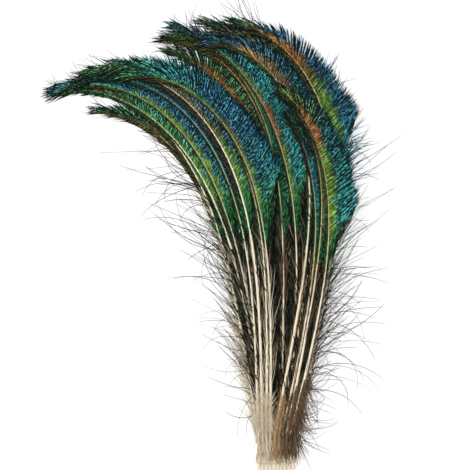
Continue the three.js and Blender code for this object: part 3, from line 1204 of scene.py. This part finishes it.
@dataclass(frozen=True)
class ThreadFinish:
    """Undyed cotton thread with a soft twist, painted darker in the twist's grooves as shade."""

    cotton: Hue = Hue.CREAM
    shade: Hue = Hue.TAN
    twist_scale: float = 900.0
    fibre_scale: float = 2600.0
    relief: float = 0.5
    roughness: float = 0.85

    def material(self, name: str) -> bpy.types.Material:
        """Builds the material.

        Args:
            name: its name.

        Returns:
            The material, which reads Object coordinates.
        """
        material, tree, shader = new_material(name)
        where = tree.add("TexCoord").outputs["Object"]
        twist = tree.add(
            "TexWave", {"Vector": where, "Scale": self.twist_scale, "Distortion": 3.0, "Detail": 2.0}
        )
        fibre = tree.add("TexNoise", {"Vector": where, "Scale": self.fibre_scale, "Detail": 3.0})
        mixed = tree.math("MULTIPLY", twist.outputs["Fac"], fibre.outputs[0], clamp=True)
        # Painted shade: the thread is darker where the twist's bump is low.
        colour = tree.blend(tree.rise(mixed, 0.0, 0.3), self.shade, self.cotton)
        tree.feed(shader.inputs["Base Color"], colour)
        tree.feed(shader.inputs["Normal"], tree.bump(mixed, self.relief))
        tree.feed(shader.inputs["Roughness"], self.roughness)
        return material


# ---- Sub-assemblies ----
@dataclass
class Feather:
    """One sword feather: an ivory shaft, and the barbs of its vane, fringe and down.

    free: the sides where no other feather lies beside it. stout: whether its shaft stays wide and pale.
    mid: where the shaft starts to get thinner upwards. tip_size: how thick its end is. STOUT, SLENDER:
    places along the shaft, and its width at each. SIDES, CUTS: of the rod that the shaft is made from, and
    WALL and HOLLOW, in the rod's own units, shape the quill's cut end.
    """

    number: int
    shape: Shape
    pile: Pile
    vane: Vane
    finish: VaneFinish
    effects: Effects
    tufts: tuple[Tuft, ...] = ()
    free: tuple[Side, ...] = ()
    stout: bool = False
    mid: float = 100.0
    tip_size: float = 0.45

    STOUT = (100.0,), (1.9,)
    SLENDER = (100.0, 180.0), (1.4, 0.85)
    SIDES = 12
    CUTS = 88
    WALL = 0.3
    HOLLOW = 0.02

    @property
    def node(self) -> str:
        """The name of the solid that the pieces stand for."""
        return f"feather_{self.number:02d}"

    def build(self) -> None:
        """Makes, dresses and places the shaft and the barbs."""
        line = ShaftLine(self.shape, self.pile)
        rng = np.random.default_rng(1000 + self.number)
        shaft = self._shaft(line)
        barbs = self._barbs(line, rng)
        horn = ShaftFinish(bright=self.stout).material(self.node + "_horn", self.effects)
        shimmer = self.finish.material(self.node + "_shimmer", self.shape, self.effects)
        for piece, slot, material in ((shaft, "quill", horn), (barbs, "feather", shimmer)):
            piece.data.materials.append(material)
            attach(piece, "root")
            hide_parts(self.node)
            LOG.info("%s: %d faces", piece.name, len(piece.data.polygons))

    def _barbs(self, line: ShaftLine, rng: np.random.Generator) -> bpy.types.Object:
        """Joins the vanes, the fringe and the tufts.

        Args:
            line: the shaft.
            rng: source of the barbs' small differences.

        Returns:
            The barbs, as one object.
        """
        parts = []
        for side in Side:
            parts.append(self.vane.barbs(line, side, UNDERCOAT, rng))
            parts.append(self.vane.barbs(line, side, TOP_COAT, rng))
            kind = FREE_FRINGE if side in self.free else COVERED_FRINGE
            parts.append(self.vane.fringe(line, side, kind, rng))
        parts += [tuft.mesh(line, rng) for tuft in self.tufts]
        return MeshArrays.joined(parts).make(self.node + "_barbs")

    def _shaft(self, line: ShaftLine) -> bpy.types.Object:
        """Lays a straight rod on the shaft's line, round at the quill and thin at the tip.

        Args:
            line: the shaft's line.

        Returns:
            The shaft.
        """
        piece = self._rod()
        mesh = piece.data
        rod = np.empty(3 * len(mesh.vertices), np.float32)
        mesh.vertices.foreach_get("co", rod)
        rod = rod.reshape(-1, 3)
        self._map_rod(mesh, rod)
        pile, length = self.pile, self.shape.length
        s = mix(-pile.quill_tail, length, (rod[:, 2] + 1.0) / 2.0)
        x, y = line.place(s)
        spread = smooth(ramp(pile.fan_start, pile.fan_end, s))
        stops, widths = self.STOUT if self.stout else self.SLENDER
        width = np.interp(s, (pile.fan_start, *stops, length), (pile.quill_width, *widths, self.tip_size))
        flat = mix(pile.quill_width, pile.shaft_height, spread)
        height = mix(flat, self.tip_size, ramp(self.mid, length, s))
        heading = line.heading(s)
        across = rod[:, 0] * width / 2
        points = np.stack([
            x + across * np.cos(heading),
            y + across * np.sin(heading),
            line.height(x, y) - rod[:, 1] * height / 2,
        ], axis=-1)
        mesh.vertices.foreach_set("co", (points * MM).astype(np.float32).ravel())
        mesh.update()
        bpy.ops.object.shade_smooth()
        return piece

    def _rod(self) -> bpy.types.Object:
        """Makes a rod of radius 1, cut into short lengths, with a hollow at its lower end.

        Returns:
            The rod, from -1 to 1 along Z.
        """
        bpy.ops.object.select_all(action="DESELECT")
        bpy.ops.mesh.primitive_cylinder_add(vertices=self.SIDES, radius=1.0, depth=2.0, end_fill_type="NGON")
        piece = bpy.context.object
        piece.name = piece.data.name = self.node + "_shaft"
        bpy.ops.object.mode_set(mode="EDIT")
        bpy.ops.mesh.select_mode(type="EDGE")
        bpy.ops.mesh.select_all(action="DESELECT")
        bpy.ops.object.mode_set(mode="OBJECT")
        for edge in piece.data.edges:
            low, high = (piece.data.vertices[i].co.z for i in edge.vertices)
            edge.select = abs(high - low) > 1.0
        bpy.ops.object.mode_set(mode="EDIT")
        bpy.ops.mesh.subdivide(number_cuts=self.CUTS)
        bpy.ops.mesh.select_mode(type="FACE")
        bpy.ops.mesh.select_all(action="DESELECT")
        bpy.ops.object.mode_set(mode="OBJECT")
        for face in piece.data.polygons:
            face.select = face.normal.z < -0.9
        bpy.ops.object.mode_set(mode="EDIT")
        bpy.ops.mesh.inset(thickness=self.WALL)
        bpy.ops.mesh.extrude_region_move(TRANSFORM_OT_translate={"value": (0.0, 0.0, self.HOLLOW)})
        bpy.ops.object.mode_set(mode="OBJECT")
        return piece

    @staticmethod
    def _map_rod(mesh: bpy.types.Mesh, rod: Array) -> None:
        """Lays the rod's map: U along it and V round it, and its ends as small discs.

        Args:
            mesh: the rod.
            rod: its vertices, while it is straight.
        """
        for layer in list(mesh.uv_layers):
            mesh.uv_layers.remove(layer)
        layer = mesh.uv_layers.new(name=MAP_NAME)
        along = (rod[:, 2] + 1.0) / 2.0
        around = np.abs(np.arctan2(rod[:, 1], rod[:, 0])) / np.pi
        for face in mesh.polygons:
            end = abs(face.normal.z) > 0.9
            for loop in face.loop_indices:
                v = mesh.loops[loop].vertex_index
                disc = (0.01 + 0.98 * along[v] + 0.006 * rod[v, 0], 0.5 + 0.4 * rod[v, 1])
                layer.data[loop].uv = disc if end else (along[v], around[v])


@dataclass
class ThreadTie:
    """The binding: thread wound round both rows of quills, flat where it lies on the surface.

    length: of the whole winding, along the quills. thread: its thickness. steps: corners in one turn.
    squareness: the lower it is, the squarer the turns are.
    """

    pile: Pile
    turns: int = 8
    length: float = 6.6
    thread: float = 0.85
    steps: int = 64
    squareness: float = 0.28

    def build(self) -> None:
        """Winds the thread, makes it a mesh and dresses it."""
        bpy.ops.object.select_all(action="DESELECT")
        curve = bpy.data.curves.new("thread_winding", "CURVE")
        curve.dimensions = "3D"
        curve.bevel_depth = self.thread / 2 * MM
        curve.bevel_resolution = 3
        curve.use_fill_caps = True
        spline = curve.splines.new("POLY")
        route = self._route()
        spline.points.add(len(route) - 1)
        for point, (x, y, z) in zip(spline.points, route):
            point.co = (x * MM, y * MM, z * MM, 1.0)
        piece = bpy.data.objects.new("thread_tie_winding", curve)
        bpy.context.scene.collection.objects.link(piece)
        piece.select_set(True)
        bpy.context.view_layer.objects.active = piece
        bpy.ops.object.convert(target="MESH")
        bpy.ops.object.shade_smooth()
        piece.data.materials.append(ThreadFinish().material("undyed_cotton"))
        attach(piece, "root")
        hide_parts("thread_tie")
        LOG.info("%s: %d faces", piece.name, len(piece.data.polygons))

    def _route(self) -> list[tuple[float, float, float]]:
        """Winds the thread, turn beside turn.

        Returns:
            The points of its middle line.
        """
        pile = self.pile
        wall = pile.tie_wall - self.thread / 2
        half = pile.quill_x(pile.quills_per_row - 1) + pile.quill_width / 2 + pile.gap + wall
        low = self.thread / 2
        high = pile.row_z(pile.rows - 1) + pile.quill_width / 2 + pile.gap + wall
        total = self.turns * self.steps
        route = []
        for i in range(total + 1):
            angle = 2.0 * math.pi * i / self.steps + math.pi / 2
            x, z = self._outline(angle, half, low, high)
            route.append((x, (i / total - 0.5) * (self.length - self.thread), z))
        return route

    def _outline(self, angle: float, half: float, low: float, high: float) -> tuple[float, float]:
        """A point of the rounded band.

        Args:
            angle: its direction from the band's middle.
            half: half the band's width.
            low: height of the band's underside.
            high: height of its top.

        Returns:
            The point's place across and its height.
        """
        across, up = math.cos(angle), math.sin(angle)
        return (
            math.copysign(abs(across) ** self.squareness, across) * half,
            (low + high) / 2 + math.copysign(abs(up) ** self.squareness, up) * (high - low) / 2,
        )


@dataclass
class Studio:
    """A pale floor, soft light and a camera that looks straight down.

    pixel: how much of the floor one pixel of the picture shows. image: the picture's width in pixels.
    tie_pixel: where it shows the binding's middle. The sizes from floor_size on are in metres.
    """

    pixel: float = 0.72
    image: int = 470
    tie_pixel: tuple[float, float] = (276.0, 459.0)
    distance: float = 1500.0
    mid_height: float = 7.0
    sensor: float = 36.0
    floor_grey: float = 0.25
    floor_glow: float = 0.78
    floor_roughness: float = 0.9
    surround_strength: float = 0.75
    lamp_power: float = 14.0
    floor_size: float = 6.0
    view_end: float = 20.0
    lamp_size: float = 0.9
    lamp_place: tuple[float, float, float] = (-0.55, 0.75, 1.15)
    lamp_aim: float = 0.16

    WHITE = (1.0, 1.0, 1.0, 1.0)

    def build(self) -> None:
        """Makes the camera, the floor and the lights."""
        self._camera()
        self._floor()
        self._surround()
        self._lamp()
        view = bpy.context.scene.view_settings
        view.view_transform = "Standard"
        view.look = "None"

    def _camera(self) -> None:
        """Frames the bunch from above, with the tips up and the quill ends past the lower edge."""
        data = bpy.data.cameras.new("camera")
        camera = bpy.data.objects.new("camera", data)
        bpy.context.scene.collection.objects.link(camera)
        middle = self.image / 2
        x = (middle - self.tie_pixel[0]) * self.pixel
        y = (self.tie_pixel[1] - middle) * self.pixel
        camera.location = (x * MM, y * MM, (self.distance + self.mid_height) * MM)
        data.sensor_width = self.sensor
        data.lens = self.sensor * self.distance / (self.image * self.pixel)
        data.clip_end = self.view_end
        bpy.context.scene.camera = camera

    def _floor(self) -> None:
        """A wide pale floor."""
        bpy.ops.object.select_all(action="DESELECT")
        bpy.ops.mesh.primitive_plane_add(size=self.floor_size, location=(0.0, 0.0, 0.0))
        floor = bpy.context.object
        floor.name = "floor"
        material, tree, shader = new_material("pale_floor")
        for socket, value in {
            "Base Color": (self.floor_grey, self.floor_grey, self.floor_grey, 1.0),
            "Roughness": self.floor_roughness,
            "Emission Color": self.WHITE,
            "Emission Strength": self.floor_glow,
        }.items():
            tree.feed(shader.inputs[socket], value)
        floor.data.materials.append(material)

    def _surround(self) -> None:
        """An even white surround."""
        world = bpy.data.worlds.new("surround")
        world.use_nodes = True
        background = world.node_tree.nodes["Background"]
        background.inputs["Color"].default_value = self.WHITE
        background.inputs["Strength"].default_value = self.surround_strength
        bpy.context.scene.world = world

    def _lamp(self) -> None:
        """One large soft lamp from the upper left, which points at the bunch."""
        data = bpy.data.lights.new("key", "AREA")
        data.size = self.lamp_size
        data.energy = self.lamp_power
        lamp = bpy.data.objects.new("key", data)
        lamp.location = self.lamp_place
        aim = lamp.location.copy()
        aim.y -= self.lamp_aim
        lamp.rotation_euler = aim.to_track_quat("Z", "Y").to_euler()
        bpy.context.scene.collection.objects.link(lamp)


# ---- What each feather looks like ----
GREENS: Stops = ((0.5, Hue.BOTTLE), (0.62, Hue.GREEN), (0.85, Hue.TEAL), (0.96, Hue.BOTTLE))
FINISHES = {
    1: VaneFinish(
        near=((0.5, Hue.GREEN), (0.62, Hue.LIME), (0.78, Hue.GREEN), (0.87, Hue.COPPER), (0.93, Hue.BOTTLE)),
        far=((0.5, Hue.GREEN), (0.66, Hue.TURQUOISE), (0.86, Hue.TEAL), (0.95, Hue.BOTTLE)),
        near_width=0.13, down=Hue.CREAM,
    ),
    2: VaneFinish(
        near=((0.6, Hue.BOTTLE), (0.7, Hue.RUSSET), (0.85, Hue.BRONZE), (0.93, Hue.BOTTLE)),
        far=((0.5, Hue.BOTTLE), (0.8, Hue.GREEN), (0.95, Hue.BOTTLE)),
        near_width=0.13, gain=1.4, down=Hue.CREAM,
    ),
    3: VaneFinish(
        near=((0.5, Hue.GREEN), (0.58, Hue.LIME), (0.72, Hue.LIME), (0.82, Hue.GREEN), (0.92, Hue.OLIVE),
              (0.97, Hue.BOTTLE)),
        far=((0.5, Hue.GREEN), (0.62, Hue.TURQUOISE), (0.74, Hue.JADE), (0.88, Hue.GREEN),
             (0.95, Hue.BOTTLE)),
        edge=((0.5, Hue.TEAL), (0.72, Hue.BLUE), (0.88, Hue.BOTTLE)),
        near_width=0.1, inner=Hue.GREEN, gain=1.35, down=Hue.CREAM,
    ),
    4: VaneFinish(
        near=((0.5, Hue.GREEN), (0.6, Hue.LIME), (0.8, Hue.LIME), (0.87, Hue.JADE), (0.95, Hue.TURQUOISE),
              (0.99, Hue.BOTTLE)),
        far=((0.5, Hue.GREEN), (0.6, Hue.TEAL), (0.7, Hue.BLUE), (0.93, Hue.BLUE), (0.98, Hue.TEAL)),
        edge=((0.5, Hue.TEAL), (0.68, Hue.NAVY), (0.85, Hue.NAVY), (0.95, Hue.BLUE)),
        near_width=0.1, gain=1.4, down=Hue.CREAM,
    ),
    5: VaneFinish(
        near=((0.5, Hue.BOTTLE), (0.7, Hue.BRONZE), (0.78, Hue.COPPER), (0.86, Hue.GOLD), (0.95, Hue.OLIVE)),
        far=((0.5, Hue.BOTTLE), (0.7, Hue.OLIVE), (0.85, Hue.GREEN), (0.95, Hue.BOTTLE)),
        edge=((0.5, Hue.BOTTLE), (0.8, Hue.GREEN), (0.95, Hue.OLIVE)),
        near_width=0.25,
    ),
    6: VaneFinish(
        near=((0.5, Hue.BOTTLE), (0.7, Hue.OLIVE), (0.8, Hue.COPPER), (0.9, Hue.GOLD), (0.96, Hue.OLIVE)),
        far=((0.5, Hue.BOTTLE), (0.64, Hue.GREEN), (0.8, Hue.OLIVE), (0.92, Hue.GREEN), (0.97, Hue.BOTTLE)),
        edge=((0.5, Hue.BOTTLE), (0.8, Hue.GREEN), (0.95, Hue.OLIVE)),
        near_width=0.15,
    ),
    7: VaneFinish(
        near=((0.5, Hue.BOTTLE), (0.7, Hue.GREEN), (0.88, Hue.LIME), (0.94, Hue.GOLD), (0.98, Hue.BOTTLE)),
        far=((0.5, Hue.GREEN), (0.75, Hue.TEAL), (0.86, Hue.JADE), (0.95, Hue.GREEN)),
        edge=((0.5, Hue.TEAL), (0.8, Hue.JADE), (0.95, Hue.OLIVE)),
        down=Hue.UMBER,
    ),
    8: VaneFinish(
        near=((0.52, Hue.GREEN), (0.58, Hue.LIME), (0.65, Hue.LIME), (0.7, Hue.COPPER), (0.77, Hue.COPPER),
              (0.82, Hue.LIME), (0.9, Hue.JADE), (0.98, Hue.BLUE)),
        far=((0.52, Hue.GREEN), (0.6, Hue.TURQUOISE), (0.8, Hue.TURQUOISE), (0.88, Hue.BLUE),
             (0.97, Hue.BLUE)),
        edge=((0.5, Hue.TEAL), (0.7, Hue.NAVY), (0.9, Hue.BLUE)),
        down=Hue.UMBER,
    ),
    9: VaneFinish(near=GREENS, far=GREENS, down=Hue.UMBER),
    10: VaneFinish(near=GREENS, far=GREENS, inner=Hue.UMBER, down=Hue.UMBER),
    11: VaneFinish(
        near=((0.5, Hue.BOTTLE), (0.6, Hue.TEAL), (0.7, Hue.BLUE), (0.85, Hue.TEAL), (0.97, Hue.BOTTLE)),
        far=((0.5, Hue.BOTTLE), (0.62, Hue.TEAL), (0.85, Hue.BLUE), (0.97, Hue.BOTTLE)),
        near_width=0.05, inner=Hue.BOTTLE, gain=1.4, down=Hue.CREAM,
    ),
    12: VaneFinish(
        near=((0.5, Hue.GREEN), (0.62, Hue.LIME), (0.72, Hue.OLIVE), (0.84, Hue.BRONZE), (0.92, Hue.BRONZE),
              (0.97, Hue.GREEN)),
        far=((0.5, Hue.GREEN), (0.66, Hue.NAVY), (0.84, Hue.BLUE), (0.95, Hue.GREEN)),
        near_width=0.13, inner=Hue.UMBER, gain=1.4, down=Hue.CREAM,
    ),
    13: VaneFinish(
        near=((0.5, Hue.GREEN), (0.62, Hue.LIME), (0.72, Hue.OLIVE), (0.84, Hue.BRONZE), (0.93, Hue.JADE)),
        far=((0.5, Hue.GREEN), (0.6, Hue.GREEN), (0.68, Hue.BLUE), (0.82, Hue.BLUE), (0.9, Hue.TURQUOISE),
             (0.97, Hue.GREEN)),
        edge=((0.55, Hue.TEAL), (0.7, Hue.NAVY), (0.82, Hue.TEAL), (0.92, Hue.TURQUOISE), (0.98, Hue.GREEN)),
        near_width=0.09, gain=1.25, down=Hue.CREAM,
    ),
    14: VaneFinish(
        near=((0.5, Hue.GREEN), (0.64, Hue.LIME), (0.74, Hue.OLIVE), (0.84, Hue.GREEN), (0.9, Hue.LIME),
              (0.97, Hue.GREEN)),
        far=((0.5, Hue.GREEN), (0.62, Hue.TEAL), (0.72, Hue.BLUE), (0.84, Hue.BLUE), (0.92, Hue.TURQUOISE),
             (0.98, Hue.GREEN)),
        edge=((0.55, Hue.TEAL), (0.7, Hue.NAVY), (0.82, Hue.TEAL), (0.94, Hue.JADE)),
        near_width=0.09, gain=1.25, down=Hue.CREAM,
    ),
    15: VaneFinish(
        near=((0.52, Hue.GREEN), (0.64, Hue.GREEN), (0.72, Hue.OLIVE), (0.78, Hue.BRONZE), (0.9, Hue.BRONZE),
              (0.93, Hue.GOLD), (0.96, Hue.BLUE), (0.99, Hue.BOTTLE)),
        far=((0.52, Hue.GREEN), (0.66, Hue.TEAL), (0.8, Hue.TEAL), (0.9, Hue.BLUE), (0.97, Hue.BLUE)),
        edge=((0.6, Hue.TEAL), (0.8, Hue.NAVY), (0.95, Hue.BLUE)),
        near_width=0.38, gain=1.1, down=Hue.FAWN,
    ),
    16: VaneFinish(
        near=((0.52, Hue.GREEN), (0.7, Hue.JADE), (0.85, Hue.TEAL), (0.92, Hue.BRONZE), (0.98, Hue.RUSSET)),
        far=((0.52, Hue.GREEN), (0.7, Hue.TEAL), (0.85, Hue.TEAL), (0.92, Hue.BRONZE), (0.98, Hue.UMBER)),
        edge=((0.6, Hue.TEAL), (0.8, Hue.NAVY), (0.93, Hue.BRONZE)),
    ),
    17: VaneFinish(near=GREENS, far=GREENS, near_width=0.13, inner=Hue.UMBER, down=Hue.UMBER),
    18: VaneFinish(
        near=((0.5, Hue.OLIVE), (0.8, Hue.GREEN), (0.95, Hue.JADE)), far=GREENS, near_width=0.13,
        inner=Hue.UMBER, down=Hue.RUSSET,
    ),
    19: VaneFinish(
        near=((0.54, Hue.LIME), (0.82, Hue.LIME), (0.87, Hue.COPPER), (0.95, Hue.COPPER), (0.98, Hue.GOLD)),
        far=((0.54, Hue.TEAL), (0.62, Hue.TURQUOISE), (0.88, Hue.TEAL), (0.95, Hue.LIME)),
        edge=((0.5, Hue.TEAL), (0.75, Hue.TEAL), (0.9, Hue.NAVY), (0.96, Hue.GREEN)),
        near_width=0.24, down=Hue.UMBER,
    ),
    20: VaneFinish(
        near=((0.6, Hue.GREEN), (0.72, Hue.LIME), (0.82, Hue.OLIVE), (0.88, Hue.COPPER), (0.96, Hue.GOLD),
              (0.99, Hue.GREEN)),
        far=((0.6, Hue.TEAL), (0.72, Hue.BLUE), (0.93, Hue.BLUE), (0.98, Hue.GREEN)),
        edge=((0.6, Hue.NAVY), (0.9, Hue.BLUE), (0.97, Hue.JADE)),
        near_width=0.32, down=Hue.UMBER,
    ),
}
STOUT_SHAFTS = {1, 3, 12, 15, 20}
FREE_SIDES = {
    1: (Side.INNER,), 2: (Side.INNER,), 11: (Side.INNER,),
    9: (Side.OUTER,), 10: (Side.OUTER,), 19: (Side.OUTER,), 20: (Side.OUTER,),
}


DOWN_TONES = (0.0, 0.12)
SKIRT_FADE = 900.0


def tip_hairs(length: float) -> Tuft:
    """The few long hairs that pass the end of a shaft of this length."""
    return Tuft(
        Side.OUTER, 9, (length * 0.95, length - 1.0), (14.0, 30.0), 18.0, 16.0, curl=26.0, width=0.4,
        droop=(0.0, 0.3), tones=(0.4, 0.47), segments=6,
    )


def down(side: Side) -> Tuft:
    """The soft down at the foot of a shaft."""
    return Tuft(
        side, 90, (8.0, 44.0), (5.0, 12.0), 14.0, 8.0, curl=14.0, width=0.3, lie=(-0.3, 0.9),
        droop=(0.0, 0.1), tones=DOWN_TONES, segments=4,
    )


def edging(side: Side, count: int) -> Tuft:
    """Pale straight strands that lie along an outermost shaft."""
    return Tuft(
        side, count, (40.0, 190.0), (16.0, 38.0), 12.0, 5.0, curl=8.0, lie=(-0.4, 0.3),
        droop=(0.0, 0.5), tones=DOWN_TONES, segments=4,
    )


def strands(side: Side) -> Tuft:
    """Pale fine strands between the shafts in the middle of the bunch."""
    return Tuft(
        side, 26, (20.0, 140.0), (18.0, 40.0), 5.0, 2.5, curl=4.0, width=0.36, lie=(-0.2, 0.5),
        droop=(0.0, 0.2), tones=(0.07, 0.19), segments=4,
    )


def fill(side: Side) -> Tuft:
    """Barbs in the fringe's own dark colours, laid thick and low in the middle of the bunch as painted shade
    between the shafts.
    """
    return Tuft(
        side, 230, (26.0, 185.0), (20.0, 38.0), 12.0, 5.0, curl=6.0, width=0.85, lie=(-0.5, -0.1),
        droop=(0.3, 0.9), tones=(0.28, 0.44), segments=4,
    )


def skirt(low: float, high: float, count: int) -> Tuft:
    """Straight loose strands that spread from the bunch's left edge, browner the higher they root.

    Args:
        low: where the first roots.
        high: where the last roots.
        count: how many there are.

    Returns:
        The strands.
    """
    return Tuft(
        Side.INNER, count, (low, high), (14.0, 32.0), 16.0, 6.0, curl=11.0, lie=(-0.4, 0.6),
        droop=(0.0, 0.5), tones=(low / SKIRT_FADE, high / SKIRT_FADE), segments=4,
    )


def frayed(count: int, low: float, high: float, length: float) -> Tuft:
    """Loose curling ends along the edge of an outer vane.

    Args:
        count: how many there are.
        low: the share of the shaft's length where the first roots.
        high: the share where the last roots.
        length: the shaft's length.

    Returns:
        The loose ends, a little less blue than the vane.
    """
    return Tuft(
        Side.OUTER, count, (low * length, high * length), (24.0, 38.0), 54.0, 9.0, curl=26.0, turn=-8.0,
        width=0.5, lie=(0.1, 0.5), droop=(0.0, 0.1), tones=(low, high - 0.06), segments=6,
    )


def thatch(column: int) -> Tuft:
    """Down that lies back over the quills: straight on the left, longer and splayed outwards on the right."""
    splay = 24.0 * float(ramp(4.0, 9.0, column))
    return Tuft(
        Side.OUTER, 60 + int(2.2 * splay), (15.0, 40.0 + splay), (8.0, 17.0 + splay / 3.0), 177.0 - splay,
        9.0, curl=12.0, lie=(0.7, 1.5), droop=(0.0, 0.1), tones=DOWN_TONES, segments=5,
    )


def cover(column: int) -> Tuft:
    """Down that lies back over the binding and hides most of it, splayed a little on the right."""
    splay = 12.0 * float(ramp(4.0, 9.0, column))
    return Tuft(
        Side.OUTER, 38, (10.0, 20.0), (11.0, 19.0), 180.0 - splay, 7.0, curl=10.0, lie=(1.9, 2.6),
        droop=(0.0, 0.06), tones=DOWN_TONES, segments=4,
    )


def strays(number: int, length: float) -> tuple[Tuft, ...]:
    """The loose barbs that only some feathers have.

    Args:
        number: the feather's number.
        length: its shaft's length.

    Returns:
        Its tufts, or none.
    """
    near_tip = (length - 18.0, length - 2.0)
    return {
        1: (
            Tuft(Side.INNER, 46, (60.0, 230.0), (26.0, 66.0), 50.0, 16.0, turn=18.0),
            Tuft(Side.INNER, 8, (30.0, 80.0), (20.0, 44.0), 90.0, 40.0, turn=10.0),
            edging(Side.INNER, 90),
            skirt(10.0, 95.0, 90),
        ),
        2: (
            skirt(10.0, 95.0, 50),
            skirt(150.0, 285.0, 50),
            edging(Side.INNER, 90),
            Tuft(Side.INNER, 26, (90.0, 250.0), (22.0, 50.0), 46.0, 14.0, turn=16.0),
        ),
        3: (frayed(30, 0.6, 0.85, length),),
        4: (frayed(30, 0.6, 0.85, length),),
        8: (
            Tuft(Side.OUTER, 5, near_tip, (18.0, 30.0), 46.0, 12.0, curl=14.0, droop=(0.0, 0.2)),
            frayed(30, 0.62, 0.86, length),
        ),
        10: (
            Tuft(Side.OUTER, 40, (50.0, 200.0), (24.0, 66.0), 52.0, 20.0, turn=30.0),
            Tuft(Side.OUTER, 46, (14.0, 60.0), (14.0, 34.0), 128.0, 24.0, turn=-6.0, tones=(0.2, 0.3)),
            edging(Side.OUTER, 110),
        ),
        11: (Tuft(Side.INNER, 18, (50.0, 130.0), (20.0, 44.0), 50.0, 20.0, turn=6.0),),
        19: (Tuft(Side.OUTER, 12, (100.0, 180.0), (30.0, 50.0), 56.0, 12.0, turn=8.0),),
        20: (
            Tuft(Side.OUTER, 46, (50.0, 225.0), (24.0, 62.0), 48.0, 18.0, turn=32.0),
            Tuft(Side.OUTER, 30, (14.0, 60.0), (12.0, 30.0), 120.0, 24.0, turn=-6.0, tones=(0.2, 0.3)),
            Tuft(Side.OUTER, 9, near_tip, (26.0, 46.0), 30.0, 10.0, curl=14.0, droop=(0.0, 0.2)),
            Tuft(Side.OUTER, 46, (196.0, 222.0), (26.0, 42.0), 36.0, 9.0, curl=16.0, turn=24.0, width=0.5,
                 lie=(0.0, 0.4), droop=(0.0, 0.1), tones=(0.64, 0.76), segments=6),
            frayed(80, 0.62, 0.8, length),
            edging(Side.OUTER, 110),
        ),
    }.get(number, ())


class FeatherBunch:
    """All the feathers and the binding."""

    def __init__(self) -> None:
        """Sets the sizes that all of them share."""
        self.pile = Pile()
        self.vane = Vane()
        self.effects = Effects()

    def build(self) -> None:
        """Makes every feather, and then the binding."""
        for number, shape in enumerate(LOWER_ROW + UPPER_ROW, start=1):
            free = FREE_SIDES.get(number, ())
            tufts = [tip_hairs(shape.length), *strays(number, shape.length)]
            tufts += [down(side) for side in Side]
            for side in Side:
                if side not in free:
                    tufts += [fill(side), strands(side)]
            if shape.row == 1:
                tufts += [thatch(shape.column), cover(shape.column)]
            Feather(
                number=number,
                shape=shape,
                pile=self.pile,
                vane=self.vane,
                finish=FINISHES[number],
                effects=self.effects,
                tufts=tuple(tufts),
                free=free,
                stout=number in STOUT_SHAFTS,
            ).build()
        ThreadTie(self.pile).build()


def main() -> None:
    """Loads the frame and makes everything."""
    logging.basicConfig(level=logging.INFO, format="%(message)s")
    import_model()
    Studio().build()
    FeatherBunch().build()


if __name__ == "__main__":
    main()
